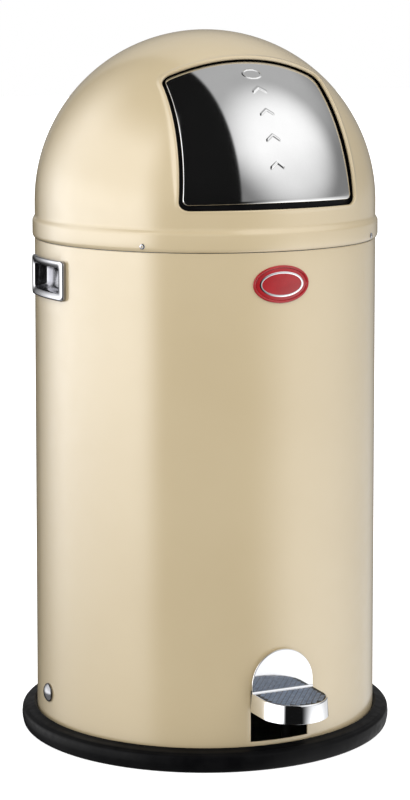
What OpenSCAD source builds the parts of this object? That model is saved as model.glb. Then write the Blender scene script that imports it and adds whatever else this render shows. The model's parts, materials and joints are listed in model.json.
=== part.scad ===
// Round pedal waste bin with a domed hood, a swinging throw-in flap and a loose inner bucket.
// Millimetres. The origin is the centre of the base on the floor, +Z is up and the front is -Y.

/* [Body] */
// Outer radius of the body tube and of the dome
body_r = 183.3; // [150:0.1:200]
// Thickness of the body sheet
wall = 1.5; // [1:0.1:2]
// Height of the top edge of the body tube
body_top = 530.8; // [480:0.1:560]
// Largest radius of the plinth
plinth_r = 200; // [195:0.5:215]
// Height of the plinth beside the body
plinth_h = 22.9; // [18:0.1:30]

/* [Hood] */
// Height of the dome's centre, which is also the flap's axis
dome_z = 569.2; // [560:0.1:600]
// Outer radius of the skirt band under the dome
skirt_r = 185.8; // [185:0.1:188]
// Half width of the throw-in aperture at the height of the dome's centre
aperture_w = 102; // [90:0.5:105]
// How much each side of the aperture leans in, for each millimetre of height
aperture_taper = 0.08; // [0:0.005:0.2]
// Lower edge of the aperture, as an angle up from the horizontal
aperture_low = 1.5; // [1:0.5:6]
// Upper edge of the aperture, as an angle up from the horizontal
aperture_high = 58; // [50:0.5:60]

/* [Pedal] */
// Height of the pedal's axle
axle_z = 49.5; // [46:0.5:52]
// Radius of the axle
axle_r = 4; // [3:0.5:5]
// Angle that the pedal travels
pedal_press = 9; // [6:0.5:9]
// Height of the tread
tread_z = 79; // [77:0.5:80]
// Half width of the pedal
pedal_w = 36; // [35:0.5:38]
// Furthest reach of the pedal from the axle
pedal_reach = 248; // [240:1:255]
// Depth of the pedal's skirt
pedal_depth = 19; // [17:0.5:20]

/* [Handles and badge] */
// Height of the middle of the side handles
handle_z = 494; // [485:1:494]
// Width of a side handle
handle_w = 85; // [70:1:90]
// Height of a side handle
handle_h = 42; // [36:1:42]
// Height of the middle of the badge
badge_z = 498; // [470:1:505]

/* [Inner bucket] */
// Outer radius of the bucket
liner_r = 150; // [130:1:150]
// Height of the bucket's rolled rim
liner_top = 512; // [480:1:512]

/* [Hidden] */
$fn = 120;
slack = 0.05;
inner_r = body_r - wall;
plinth_floor = 2.5;
pan_t = 1.5;
pan_z = plinth_floor + pan_t;

// Dome and lid ring
dome_t = 1.3;
dome_in = body_r - dome_t;
skirt_z = 531.5;
skirt_flat = 535;
skirt_top = 550;
joggle_top = 554;
lid_ring_in = 182.6;
lid_ring_out = skirt_r - dome_t - 0.1;
lid_ring_top = 552;
seal_z = body_top + 0.3;
seal_t = 1.2;
lid_screw_z = 537;
lid_screw_angles = [45, 135, 225, 315];
lid_screw_r = 1.6;

// Pedal slot in the body
slot_w = 65.6;
slot_low = 26.3;
slot_high = 80;

// Lever
arm_x = 26;
arm_t = 4;
lever_rear = 164;
bar_r = 5;
bar_z = axle_z + 2.5;
bridge_y = -90;
bridge_z = 50;
bush_r = 6.5;
plate_t = 3;
tread_t = 1.5;
rim_rise = 1.2;
pedal_gap = 3.2;
plate_z = tread_z - rim_rise - tread_t - plate_t;

// Lift frame, raised by the back end of the lever
lift_travel = lever_rear * sin(pedal_press);
hoop_z = bar_z + bar_r + 0.6;
hoop_t = 3.4;
hoop_in = 152;
hoop_out = 169;
rod_x = 158.5;
rod_y = -24;
rod_r = 4;
tip_r = 4.6;
rod_a = atan2(-rod_y, rod_x);
pad_gap = 2;

// Flap: it turns through flap_swing while the pedal travels pedal_press
flap_swing = 60;
crank_r = lift_travel / (2 * sin(flap_swing / 2));
crank_pin_r = 4.5;
tip_z = dome_z - crank_r * sin(flap_swing / 2) - crank_pin_r - 0.8;
panel_out = 180.3;
panel_in = 178.8;
backing_out = 177.4;
backing_in = 175;
carrier_out = 167.9;
carrier_in = 165;
cheek_x = 164.5;
cheek_t = 2.5;
cheek_r = 31;
flap_bush_r = 7;
pivot_r = 4;
pivot_flange_r = 14;

// Lid hinge behind the body
hinge_y = 192;
hinge_z = 531;
knuckle_r = 4.5;
pin_r = 2.5;
leaf_t = 1.5;

// False floor and bucket
floor_z = 92;
floor_t = 1.5;
liner_t = 1;
liner_z = floor_z + floor_t + 0.1;
bead_r = 2.5;
bail_z = liner_top + 9;
bail_r = 148;
wire_r = 2.5;
grip_r = 5;

// Side handles
frame_t = 5;
recess_w = 66;
recess_h = 26;
recess_back = 170.5;
recess_gap = 3.6;

// A tube standing on z
module tube(r_out, r_in, h) {
    difference() {
        cylinder(r = r_out, h = h);
        translate([0, 0, -1]) cylinder(r = r_in, h = h + 2);
    }
}

// A cylinder along X from x0 to x1
module rod_x_dir(r, x0, x1) {
    translate([x0, 0, 0]) rotate([0, 90, 0]) cylinder(r = r, h = x1 - x0);
}

// The same thing on the left and on the right
module both_sides() {
    children();
    mirror([1, 0, 0]) children();
}

// A wedge about the X axis from angle t0 to t1, measured from -Y up towards +Z
module wedge(t0, t1, half_w, r) {
    rotate([90, 0, -90]) rotate([0, 0, t0]) rotate_extrude(angle = t1 - t0)
        translate([0, -half_w]) square([r, 2 * half_w]);
}

// The part of a spherical shell that lies inside another shape
module shell_part(r_in, r_out) {
    intersection() {
        difference() {
            sphere(r = r_out);
            sphere(r = r_in);
        }
        children();
    }
}

// The space in front of the aperture, from angle t0 to t1, with its sides moved out by grow
module opening(t0, t1, grow) {
    low = -40;
    high = 170;
    w0 = aperture_w - low * aperture_taper + grow;
    w1 = aperture_w - high * aperture_taper + grow;
    intersection() {
        wedge(t0, t1, w0, body_r + 20);
        rotate([90, 0, 0]) linear_extrude(body_r + 20)
            polygon([[-w0, low], [w0, low], [w1, high], [-w1, high]]);
    }
}

// A piece of the tube r_in..r_out that lies behind a box on the +X side
module side_patch(r_in, r_out, w, z0, z1) {
    intersection() {
        translate([0, 0, z0]) tube(r_out, r_in, z1 - z0);
        translate([0, -w / 2, z0]) cube([r_out + 5, w, z1 - z0]);
    }
}

// Outline of the pedal: straight beside the body and round at the front
module pedal_outline(inset) {
    r = pedal_w - inset;
    back = -body_r - pedal_gap - inset;
    front = -pedal_reach + pedal_w;
    translate([-r, front]) square([2 * r, back - front]);
    intersection() {
        translate([0, front]) circle(r = r);
        translate([-r, front - r]) square([2 * r, r + 1]);
    }
}

// ---------- base ----------

module plinth() {
    color("#1c1c1e") difference() {
        rotate_extrude() polygon([[0, 0], [195, 0], [198.6, 2.5], [plinth_r, 8], [plinth_r, 13],
            [199, 17.5], [196.6, 20.6], [193, 21.8], [188, plinth_h - 0.4], [body_r + 0.1, plinth_h],
            [body_r + 0.1, plinth_floor], [0, plinth_floor]]);
        screw_places() translate([0, 0, 0.8]) cylinder(r = 2, h = 5);
    }
}

module screw_places() {
    for (a = [45:90:315]) rotate([0, 0, a]) translate([150, 0, 0]) children();
}

module base_pan() {
    color("silver") translate([0, 0, plinth_floor]) difference() {
        union() {
            cylinder(r = inner_r - 0.1, h = pan_t);
            tube(inner_r - 0.1, inner_r - 1.6, 14);
        }
        screw_places() translate([0, 0, -1]) cylinder(r = 2, h = 5);
    }
}

module base_screws() {
    color("dimgray") screw_places() {
        translate([0, 0, 0.8]) cylinder(r = 2, h = pan_z - 0.8);
        translate([0, 0, pan_z]) cylinder(r = 4, h = 3);
    }
}

// ---------- body ----------

module body_shell() {
    color("#efe6cd") difference() {
        translate([0, 0, plinth_floor + 0.1]) tube(body_r, inner_r, body_top - plinth_floor - 0.1);
        translate([-slot_w / 2, -body_r - 5, slot_low]) cube([slot_w, 30, slot_high - slot_low]);
        translate([0, 0, axle_z]) rod_x_dir(axle_r + slack, -body_r - 1, body_r + 1);
        both_sides() translate([body_r, 0, handle_z])
            cube([40, recess_w + 2 * recess_gap, recess_h + 2 * recess_gap], center = true);
        both_sides() leaf_rivet_places(hinge_z - 18) rivet_hole();
    }
}

module body_collar() {
    color("silver") translate([0, 0, liner_top + 2]) tube(inner_r - 0.1, inner_r - 2.1, 26);
}

module false_floor() {
    color("gainsboro") difference() {
        translate([0, 0, floor_z]) cylinder(r = inner_r - 0.1, h = floor_t);
        rod_places() translate([0, 0, floor_z - 1]) cylinder(r = rod_r + 2, h = floor_t + 2);
    }
}

module floor_brackets() {
    color("silver") for (a = [45:90:315]) rotate([0, 0, a]) {
        side_patch(inner_r - 1.6, inner_r - 0.1, 24, floor_z - 22, floor_z - 1.5);
        side_patch(inner_r - 11, inner_r - 0.1, 24, floor_z - 1.5, floor_z);
    }
}

module rod_places() {
    both_sides() translate([rod_x, rod_y, 0]) children();
}

module rod_guides() {
    color("#303034") both_sides() for (z = [120, 455]) difference() {
        intersection() {
            translate([rod_x - 7, rod_y - 10, z]) cube([40, 20, 12]);
            translate([0, 0, z]) cylinder(r = inner_r - 0.1, h = 12);
        }
        translate([rod_x, rod_y, z - 1]) cylinder(r = rod_r + slack, h = 14);
    }
}

module side_handle() {
    z0 = handle_z - handle_h / 2;
    r0 = handle_z - recess_h / 2;
    difference() {
        side_patch(body_r + 0.1, body_r + frame_t, handle_w, z0, z0 + handle_h);
        translate([0, -recess_w / 2, r0]) cube([body_r + 20, recess_w, recess_h]);
    }
    difference() {
        intersection() {
            translate([recess_back, -recess_w / 2 - 1.4, r0 - 1.4])
                cube([20, recess_w + 2.8, recess_h + 2.8]);
            cylinder(r = body_r + 2, h = body_top);
        }
        translate([recess_back + 1.4, -recess_w / 2, r0]) cube([30, recess_w, recess_h]);
    }
}

module handle_right() {
    color("#d8dadd") side_handle();
}

module handle_left() {
    color("#d8dadd") mirror([1, 0, 0]) side_handle();
}

// An upright oval on the front of the body between two radii
module front_oval(half_w, half_h, r_in, r_out) {
    intersection() {
        translate([0, 0, badge_z - half_h - 1]) tube(r_out, r_in, 2 * half_h + 2);
        translate([0, -body_r + 15, badge_z]) rotate([90, 0, 0]) linear_extrude(30)
            polygon([for (i = [0:47]) [half_w * cos(i * 7.5), half_h * sin(i * 7.5)]]);
    }
}

module badge() {
    color("#a3161b") front_oval(28.4, 16.3, body_r + 0.1, body_r + 1.5);
}

module badge_rim() {
    color("#d8dadd") difference() {
        front_oval(31.4, 19.3, body_r + 0.1, body_r + 2.2);
        front_oval(28.45, 16.35, body_r - 1, body_r + 4);
    }
}

// ---------- hood hinge ----------

module leaf_rivet_places(z) {
    translate([20, 0, z]) rotate([-90, 0, 0]) translate([0, 0, 150]) children();
}

module rivet_hole() {
    cylinder(r = 1.6, h = 60);
}

module hinge_body_leaf() {
    color("silver") difference() {
        union() {
            intersection() {
                translate([0, 0, hinge_z - 30]) tube(body_r + 0.1 + leaf_t, body_r + 0.1, 28);
                translate([-30, 100, 0]) cube([60, 150, 600]);
            }
            both_sides() translate([15.4, 0, 0]) {
                translate([0, body_r - 1, hinge_z - 10]) cube([14.6, hinge_y - body_r + 1, 8]);
                translate([0, hinge_y, hinge_z]) rod_x_dir(knuckle_r, 0, 14.6);
            }
        }
        translate([0, hinge_y, hinge_z]) rod_x_dir(pin_r, -31, 31);
        translate([0, 0, hinge_z - 35]) cylinder(r = body_r + 0.1, h = 60);
        both_sides() leaf_rivet_places(hinge_z - 18) rivet_hole();
    }
}

module hinge_pin() {
    color("gray") translate([0, hinge_y, hinge_z]) rod_x_dir(pin_r, -31.5, 31.5);
}

module hinge_body_rivets() {
    color("gainsboro") both_sides() translate([20, 0, hinge_z - 18]) rotate([-90, 0, 0]) {
        translate([0, 0, inner_r - 0.1]) cylinder(r = 1.6, h = leaf_t + wall);
        translate([0, 0, body_r + leaf_t - 0.2]) cylinder(r = 3, h = 1.3);
    }
}

// ---------- bucket ----------

module liner() {
    color("#b9bfc2") {
        difference() {
            translate([0, 0, liner_z]) cylinder(r = liner_r, h = liner_top - liner_z);
            translate([0, 0, liner_z + liner_t]) cylinder(r = liner_r - liner_t, h = liner_top);
        }
        translate([0, 0, liner_top]) rotate_extrude() translate([liner_r - 0.4, 0]) circle(r = bead_r);
    }
}

module bail_ears() {
    ear_x = liner_r + bead_r + 0.2;
    color("silver") both_sides() difference() {
        union() {
            translate([ear_x, -9, liner_top - 26]) cube([1.5, 18, bail_z + 6 - liner_top + 26]);
            translate([liner_r - 3, -7, liner_top - 24]) cube([ear_x - liner_r + 3.2, 14, 10]);
        }
        translate([0, 0, liner_top - 30]) cylinder(r = liner_r + 0.02, h = 26);
        translate([0, 0, bail_z]) rod_x_dir(wire_r + slack, liner_r, liner_r + 9);
    }
}

module bail() {
    color("#9a9fa3") translate([0, 0, bail_z]) {
        rotate_extrude(angle = 180) translate([bail_r, 0]) circle(r = wire_r);
        both_sides() rod_x_dir(wire_r, bail_r - 2, liner_r + 6.2);
    }
}

module bail_grip() {
    color("#303034") translate([0, 0, bail_z]) rotate([0, 0, 78]) difference() {
        rotate_extrude(angle = 24) translate([bail_r, 0]) circle(r = grip_r);
        rotate([0, 0, -5]) rotate_extrude(angle = 34) translate([bail_r, 0]) circle(r = wire_r + 0.02);
    }
}

// ---------- pedal ----------

module pedal_axle() {
    color("gray") translate([0, 0, axle_z]) rod_x_dir(axle_r, -body_r - 3, body_r + 3);
}

// A domed cap over one end of the axle
module axle_cap() {
    cap_r = 10;
    crown_r = 15;
    crown = crown_r - sqrt(crown_r * crown_r - cap_r * cap_r);
    translate([body_r + 0.1, 0, axle_z]) rotate([0, 90, 0]) difference() {
        union() {
            cylinder(r = cap_r, h = 1.5);
            intersection() {
                translate([0, 0, 1.5 + crown - crown_r]) sphere(r = crown_r);
                translate([0, 0, 1.5]) cylinder(r = cap_r, h = crown_r);
            }
        }
        translate([0, 0, -1]) cylinder(r = axle_r, h = 4);
    }
}

module axle_cap_right() {
    color("#d8dadd") axle_cap();
}

module axle_cap_left() {
    color("#d8dadd") mirror([1, 0, 0]) axle_cap();
}

module axle_brackets() {
    color("silver") both_sides() difference() {
        union() {
            translate([42, -14, pan_z]) cube([3, 28, axle_z - pan_z]);
            translate([0, 0, axle_z]) rod_x_dir(14, 42, 45);
            translate([42, -14, pan_z]) cube([18, 28, 2]);
        }
        translate([0, 0, axle_z]) rod_x_dir(axle_r + slack, 40, 48);
    }
}

module down_stops() {
    color("#2a2a2c") both_sides() translate([arm_x + arm_t / 2, -140, pan_z]) {
        cylinder(r = 7, h = 6);
        cylinder(r = 5, h = 26);
    }
}

module rest_stops() {
    color("#2a2a2c") both_sides() translate([arm_x + arm_t / 2, 140, pan_z]) {
        cylinder(r = 7, h = 6);
        cylinder(r = 5, h = axle_z - 5.2 - pan_z);
    }
}

// A compression spring, swept along a helix from z0 to z1
module coil_spring(r, wire, z0, z1, turns) {
    steps = turns * 20;
    sides = 8;
    ring = [for (i = [0:steps]) for (j = [0:sides - 1])
        let (a = 360 * turns * i / steps, b = 360 * j / sides,
            z = z0 + wire + (z1 - z0 - 2 * wire) * i / steps)
        [(r + wire * cos(b)) * cos(a), (r + wire * cos(b)) * sin(a), z + wire * sin(b)]];
    skin = [for (i = [0:steps - 1]) for (j = [0:sides - 1])
        let (k = (j + 1) % sides)
        [i * sides + j, (i + 1) * sides + j, (i + 1) * sides + k, i * sides + k]];
    first = [for (j = [0:sides - 1]) j];
    last = [for (j = [sides - 1:-1:0]) steps * sides + j];
    polyhedron(points = ring, faces = concat([first], skin, [last]));
}

module return_spring() {
    color("silver") translate([0, bridge_y, 0]) coil_spring(9, 1.1, pan_z + 0.1, bridge_z - 0.1, 6);
}

// One side arm of the lever, seen from the side and cut around the axle
module lever_arm() {
    rotate([90, 0, 90]) linear_extrude(arm_t) difference() {
        union() {
            polygon([[-236, 66], [-236, plate_z], [-150, plate_z], [-16, axle_z + 10],
                [16, axle_z + 10], [lever_rear, bar_z + 4], [lever_rear, bar_z - 6],
                [140, axle_z - 5], [16, axle_z - 9], [-16, axle_z - 9], [-172, 57], [-190, 58.5]]);
            translate([0, axle_z]) circle(r = 12);
            translate([lever_rear, bar_z]) circle(r = bar_r);
        }
        translate([0, axle_z]) circle(r = bush_r);
        translate([lever_rear, bar_z]) circle(r = bar_r - 1.5);
    }
}

module pedal_lever() {
    plate_front = -pedal_reach + pedal_w;
    color("silver") {
        both_sides() difference() {
            translate([arm_x, 0, 0]) lever_arm();
            difference() {
                translate([arm_x - 1, -300, 0]) cube([arm_t + 2, 300 + plate_front, 100]);
                linear_extrude(200) pedal_outline(3);
            }
        }
        difference() {
            translate([-arm_x - arm_t, plate_front - 12, plate_z])
                cube([2 * (arm_x + arm_t), 34, plate_t]);
            pedal_screw_places() translate([0, 0, plate_z - 1]) cylinder(r = 2, h = plate_t + 2);
        }
        translate([-arm_x, bridge_y - 15, bridge_z]) cube([2 * arm_x, 30, 3]);
    }
}

module lever_bushes() {
    color("#e8e4d8") both_sides() translate([0, 0, axle_z]) difference() {
        union() {
            rod_x_dir(bush_r, arm_x - 1, arm_x + arm_t + 1);
            rod_x_dir(bush_r + 2.5, arm_x + arm_t + 0.1, arm_x + arm_t + 1.6);
        }
        rod_x_dir(axle_r + slack, arm_x - 5, arm_x + arm_t + 5);
    }
}

module lift_bar() {
    color("gray") translate([0, lever_rear, bar_z]) {
        rod_x_dir(bar_r, -arm_x, arm_x);
        rod_x_dir(bar_r - 1.5, -arm_x - arm_t, arm_x + arm_t);
    }
}

module pedal_screw_places() {
    for (x = [-14, 14]) translate([x, -pedal_reach + pedal_w + 4, 0]) children();
}

module pedal_cover() {
    floor_top = tread_z - rim_rise;
    plate_mid = tread_z + 7;
    color("#d8dadd") {
        difference() {
            translate([0, 0, tread_z - pedal_depth]) linear_extrude(pedal_depth) pedal_outline(0);
            linear_extrude(floor_top - tread_t) pedal_outline(1.5);
            translate([-pedal_w + 1.5, -body_r - 10, 0]) cube([2 * pedal_w - 3, 20, floor_top - tread_t]);
            translate([0, 0, floor_top]) linear_extrude(10) pedal_outline(2.6);
            pedal_screw_places() translate([0, 0, floor_top - 5]) cylinder(r = 2, h = 10);
        }
        translate([0, -body_r - pedal_gap, 0]) rotate([90, 0, 0]) linear_extrude(1.5) {
            translate([-pedal_w, floor_top - tread_t]) square([2 * pedal_w, plate_mid - floor_top + tread_t]);
            intersection() {
                translate([0, plate_mid]) circle(r = pedal_w);
                translate([-pedal_w, plate_mid - 1]) square([2 * pedal_w, pedal_w + 2]);
            }
        }
    }
}

module pedal_pad() {
    color("#46627f") difference() {
        translate([0, 0, tread_z - rim_rise]) linear_extrude(rim_rise + 0.5) pedal_outline(2.7);
        pedal_screw_places() translate([0, 0, tread_z - 5]) cylinder(r = 2.1, h = 4.6);
    }
}

module pedal_screws() {
    color("dimgray") pedal_screw_places() {
        translate([0, 0, plate_z - 2.5]) cylinder(r = 4, h = 2.5);
        translate([0, 0, plate_z - 1]) cylinder(r = 2, h = plate_t + tread_t + 1);
    }
}

// ---------- lift frame ----------

module lift_hoop() {
    color("silver") translate([0, 0, hoop_z]) difference() {
        union() {
            rotate([0, 0, pad_gap - rod_a]) rotate_extrude(angle = 180 + 2 * (rod_a - pad_gap))
                translate([hoop_in, 0]) square([hoop_out - hoop_in, hoop_t]);
            rod_places() cylinder(r = 8, h = hoop_t);
        }
        rod_places() translate([0, 0, -1]) cylinder(r = rod_r - 1, h = hoop_t + 2);
    }
}

module push_rod() {
    translate([rod_x, rod_y, hoop_z + hoop_t]) cylinder(r = rod_r, h = tip_z - 8 - hoop_z - hoop_t);
    translate([rod_x, rod_y, hoop_z - 5]) cylinder(r = rod_r - 1, h = hoop_t + 6);
}

module push_rod_right() {
    color("silver") push_rod();
}

module push_rod_left() {
    color("silver") mirror([1, 0, 0]) push_rod();
}

module rod_tips() {
    color("#303034") rod_places() translate([0, 0, tip_z - 8]) cylinder(r = tip_r, h = 8);
}

module rod_nuts() {
    color("gray") rod_places() translate([0, 0, hoop_z - 5]) difference() {
        cylinder(r = 6.4, h = 5, $fn = 6);
        translate([0, 0, -1]) cylinder(r = rod_r - 1, h = 7);
    }
}

// ---------- hood ----------

module dome() {
    color("#efe6cd") difference() {
        union() {
            translate([0, 0, dome_z]) difference() {
                sphere(r = body_r);
                sphere(r = dome_in);
                translate([-200, -200, -400]) cube([400, 400, 400]);
            }
            rotate_extrude() polygon([[body_r, dome_z], [body_r, joggle_top], [skirt_r, skirt_top],
                [skirt_r, skirt_flat], [body_r + 1, skirt_z], [body_r, skirt_z + 0.8],
                [skirt_r - dome_t, skirt_flat + 0.8], [skirt_r - dome_t, skirt_top - 0.5],
                [dome_in, joggle_top - 0.5], [dome_in, dome_z]]);
        }
        translate([0, 0, dome_z]) opening(aperture_low, aperture_high, 0);
        lid_screw_places() cylinder(r = lid_screw_r, h = 20);
        both_sides() leaf_rivet_places(hinge_z + 12) rivet_hole();
    }
}

// Axes of the screws that hold the dome to its ring, pointing outwards
module lid_screw_places() {
    for (a = lid_screw_angles) rotate([0, 0, a]) translate([lid_ring_in - 0.2, 0, lid_screw_z])
        rotate([0, 90, 0]) children();
}

module lid_ring() {
    color("silver") difference() {
        translate([0, 0, seal_z + seal_t]) tube(lid_ring_out, lid_ring_in, lid_ring_top - seal_z - seal_t - 3);
        lid_screw_places() cylinder(r = lid_screw_r, h = 20);
        difference() {
            translate([0, 0, skirt_z - 5]) tube(skirt_r + 5, body_r - 0.2, skirt_flat - skirt_z + 6.2);
            translate([0, 0, skirt_z - 6]) cylinder(r1 = body_r - 4, r2 = skirt_r - dome_t, h = 11);
        }
        both_sides() leaf_rivet_places(hinge_z + 12) rivet_hole();
    }
}

module lid_seal() {
    color("#2a2a2c") translate([0, 0, seal_z]) tube(body_r - 0.3, lid_ring_in - 0.3, seal_t);
}

module lid_screws() {
    color("#e6e6e6") lid_screw_places() {
        cylinder(r = lid_screw_r, h = skirt_r - lid_ring_in + 0.7);
        translate([0, 0, skirt_r - lid_ring_in + 0.3]) cylinder(r = 3, h = 1.1);
    }
}

module hinge_lid_leaf() {
    color("silver") difference() {
        union() {
            intersection() {
                translate([0, 0, hinge_z + 5]) tube(skirt_r + 0.1 + leaf_t, skirt_r + 0.1, 14);
                translate([-28, 100, 0]) cube([56, 150, 600]);
            }
            translate([-14.6, skirt_r - 1, hinge_z + 5]) cube([29.2, hinge_y - skirt_r + 3, 6]);
            translate([-14.6, hinge_y - 2, hinge_z]) cube([29.2, 4, 9]);
            translate([0, hinge_y, hinge_z]) rod_x_dir(knuckle_r, -14.6, 14.6);
        }
        translate([0, hinge_y, hinge_z]) rod_x_dir(pin_r + slack, -31, 31);
        translate([0, 0, hinge_z]) cylinder(r = skirt_r + 0.1, h = 30);
        both_sides() leaf_rivet_places(hinge_z + 12) rivet_hole();
    }
}

module hinge_lid_rivets() {
    color("gainsboro") both_sides() translate([20, 0, hinge_z + 12]) rotate([-90, 0, 0]) {
        translate([0, 0, lid_ring_in - 0.2]) cylinder(r = 1.6, h = skirt_r - lid_ring_in + leaf_t + 1.2);
        translate([0, 0, skirt_r + leaf_t - 0.2]) cylinder(r = 3, h = 1.3);
    }
}

module aperture_trim() {
    color("#232325") translate([0, 0, dome_z]) difference() {
        shell_part(panel_out + 0.6, dome_in - 0.1) opening(aperture_low - 7.5, aperture_high + 4.5, 6);
        opening(aperture_low - 0.5, aperture_high + 0.5, 0.5);
    }
}

module flap_pivots() {
    color("silver") translate([0, 0, dome_z]) both_sides() {
        rod_x_dir(pivot_flange_r, 174, sqrt(pow(dome_in - 0.1, 2) - pow(pivot_flange_r, 2)));
        rod_x_dir(pivot_r, cheek_x - 0.7, 174);
    }
}

// Rubber stops under the lower edge of the flap
module flap_buffers() {
    color("#2a2a2c") translate([0, 0, dome_z]) both_sides() intersection() {
        difference() {
            sphere(r = panel_out + 0.5);
            sphere(r = 167);
        }
        translate([80, 0, 0]) wedge(-5.6, -2.2, 9, body_r);
    }
}

// ---------- flap ----------

module flap_panel() {
    color("#c9cbcd") translate([0, 0, dome_z])
        shell_part(panel_in, panel_out) opening(aperture_low + 1.75, aperture_high + 0.4, -4.6);
}

// A rim behind the gap round the panel, a raised middle under the panel and a block on the carrier
module flap_backing() {
    color("#232325") translate([0, 0, dome_z]) {
        shell_part(backing_in, backing_out) opening(aperture_low - 3, aperture_high + 3, 6);
        shell_part(backing_in, panel_in) opening(aperture_low + 3.5, aperture_high - 1.4, -10);
        shell_part(carrier_out, backing_in + 0.5) wedge(22, 38, 60, body_r);
    }
}

module flap_carrier() {
    color("silver") translate([0, 0, dome_z]) difference() {
        union() {
            difference() {
                shell_part(carrier_in, carrier_out) wedge(20, 40, carrier_out, body_r);
                both_sides() rod_x_dir(cheek_r - 2, cheek_x, 200);
            }
            both_sides() rod_x_dir(cheek_r, cheek_x, cheek_x + cheek_t);
        }
        both_sides() rod_x_dir(flap_bush_r, cheek_x - 5, cheek_x + 10);
        crank_place() both_sides() rod_x_dir(2, cheek_x - 5, cheek_x + 10);
        both_sides() difference() {
            rod_x_dir(60, cheek_x + cheek_t, cheek_x + 20);
            rod_x_dir(cheek_r - 2, cheek_x, 200);
        }
    }
}

// Where the crank pins sit on the cheeks
module crank_place() {
    translate([0, -crank_r * cos(flap_swing / 2), -crank_r * sin(flap_swing / 2)]) children();
}

module flap_bushes() {
    color("#e8e4d8") translate([0, 0, dome_z]) both_sides() difference() {
        rod_x_dir(flap_bush_r, cheek_x - 0.3, cheek_x + cheek_t + 1.5);
        rod_x_dir(pivot_r + slack, cheek_x - 5, cheek_x + 10);
    }
}

module crank_pins() {
    color("#303034") translate([0, 0, dome_z]) crank_place() both_sides() {
        rod_x_dir(crank_pin_r, rod_x - 4.5, cheek_x);
        rod_x_dir(2, cheek_x - 1, cheek_x + cheek_t);
    }
}

plinth();
base_pan();
base_screws();
body_shell();
body_collar();
false_floor();
floor_brackets();
pedal_axle();
axle_cap_left();
axle_cap_right();
axle_brackets();
down_stops();
rest_stops();
return_spring();
rod_guides();
handle_left();
handle_right();
badge();
badge_rim();
hinge_body_leaf();
hinge_pin();
hinge_body_rivets();
liner();
bail_ears();
bail();
bail_grip();
pedal_lever();
lever_bushes();
lift_bar();
pedal_cover();
pedal_pad();
pedal_screws();
lift_hoop();
push_rod_left();
push_rod_right();
rod_tips();
rod_nuts();
dome();
lid_ring();
lid_seal();
lid_screws();
hinge_lid_leaf();
hinge_lid_rivets();
aperture_trim();
flap_pivots();
flap_buffers();
flap_panel();
flap_backing();
flap_carrier();
flap_bushes();
crank_pins();
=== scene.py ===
"""Round domed pedal waste bin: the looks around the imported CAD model. Lengths are in metres."""
import json
import math

import bmesh
import bpy
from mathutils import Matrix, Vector


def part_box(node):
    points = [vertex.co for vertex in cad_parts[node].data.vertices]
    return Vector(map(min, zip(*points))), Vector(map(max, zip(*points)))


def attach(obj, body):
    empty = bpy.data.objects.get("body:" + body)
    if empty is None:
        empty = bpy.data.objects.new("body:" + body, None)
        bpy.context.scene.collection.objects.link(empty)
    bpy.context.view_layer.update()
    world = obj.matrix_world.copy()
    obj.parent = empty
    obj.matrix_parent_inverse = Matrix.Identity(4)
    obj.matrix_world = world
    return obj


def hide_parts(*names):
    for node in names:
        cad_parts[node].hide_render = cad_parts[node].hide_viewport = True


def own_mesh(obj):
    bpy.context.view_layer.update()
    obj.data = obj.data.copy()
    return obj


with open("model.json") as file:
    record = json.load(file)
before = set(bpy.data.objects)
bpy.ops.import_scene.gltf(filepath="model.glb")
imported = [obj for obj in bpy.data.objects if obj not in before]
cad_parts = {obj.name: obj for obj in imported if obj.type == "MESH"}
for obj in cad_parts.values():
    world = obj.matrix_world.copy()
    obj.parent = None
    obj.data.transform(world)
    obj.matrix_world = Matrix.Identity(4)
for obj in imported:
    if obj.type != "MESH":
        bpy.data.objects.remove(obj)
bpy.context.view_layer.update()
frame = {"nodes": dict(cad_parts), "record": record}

MM = 0.001
NODES = frame["nodes"]


def lowest(node):
    """The corner of a CAD node's box with its least x, y and z."""
    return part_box(node)[0]


def highest(node):
    """The corner of a CAD node's box with its greatest x, y and z."""
    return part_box(node)[1]


def middle(node):
    """The middle of a CAD node's box."""
    return (lowest(node) + highest(node)) / 2


# Sizes that the pieces share, read from the frame where a node shows them
COLLAR_GAP = 1.6 * MM
BODY_R = highest("body_collar").x + COLLAR_GAP
BODY_TOP = highest("body_shell").z
DOME_Z = middle("flap_pivots").z
SKIRT_Z = lowest("dome").z
SKIRT_R = highest("dome").x
SCREW_Z = middle("lid_screws").z
PLINTH_R = highest("plinth").x
PLINTH_H = highest("plinth").z
HANDLE_Z = middle("handle_left").z
BADGE_Z = middle("badge").z
AXLE_Z = middle("pedal_axle").z
PEDAL_W = highest("pedal_cover").x
PEDAL_FRONT = lowest("pedal_cover").y
PEDAL_LOW = lowest("pedal_cover").z
PEDAL_TOP = highest("pedal_cover").z
PEDAL_BACK = -BODY_R - 3.2 * MM
PAD_TOP = highest("pedal_pad").z
PAD_LOW = lowest("pedal_pad").z
TREAD_Z = PAD_TOP - 0.5 * MM
PLATE_HALF = PEDAL_W - 1.3 * MM
PLATE_FOOT = TREAD_Z - 3 * MM
FLAP_R = 180.3 * MM

# Throw-in aperture on the dome: angles up from the horizontal about the X axis, half width at the
# height of the dome's centre, and how much each side leans in for each unit of height
APERTURE_LOW = 1.5
APERTURE_HIGH = 58.0
APERTURE_W = 102 * MM
APERTURE_TAPER = 0.08
APERTURE_CORNER = 11 * MM


# ---------------------------------------------------------------- meshes

def ride(obj, body, slot, *replaced):
    """Hangs a new piece on its body and hides the CAD nodes it stands for. slot is not used."""
    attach(obj, body)
    if replaced:
        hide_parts(*replaced)


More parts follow.
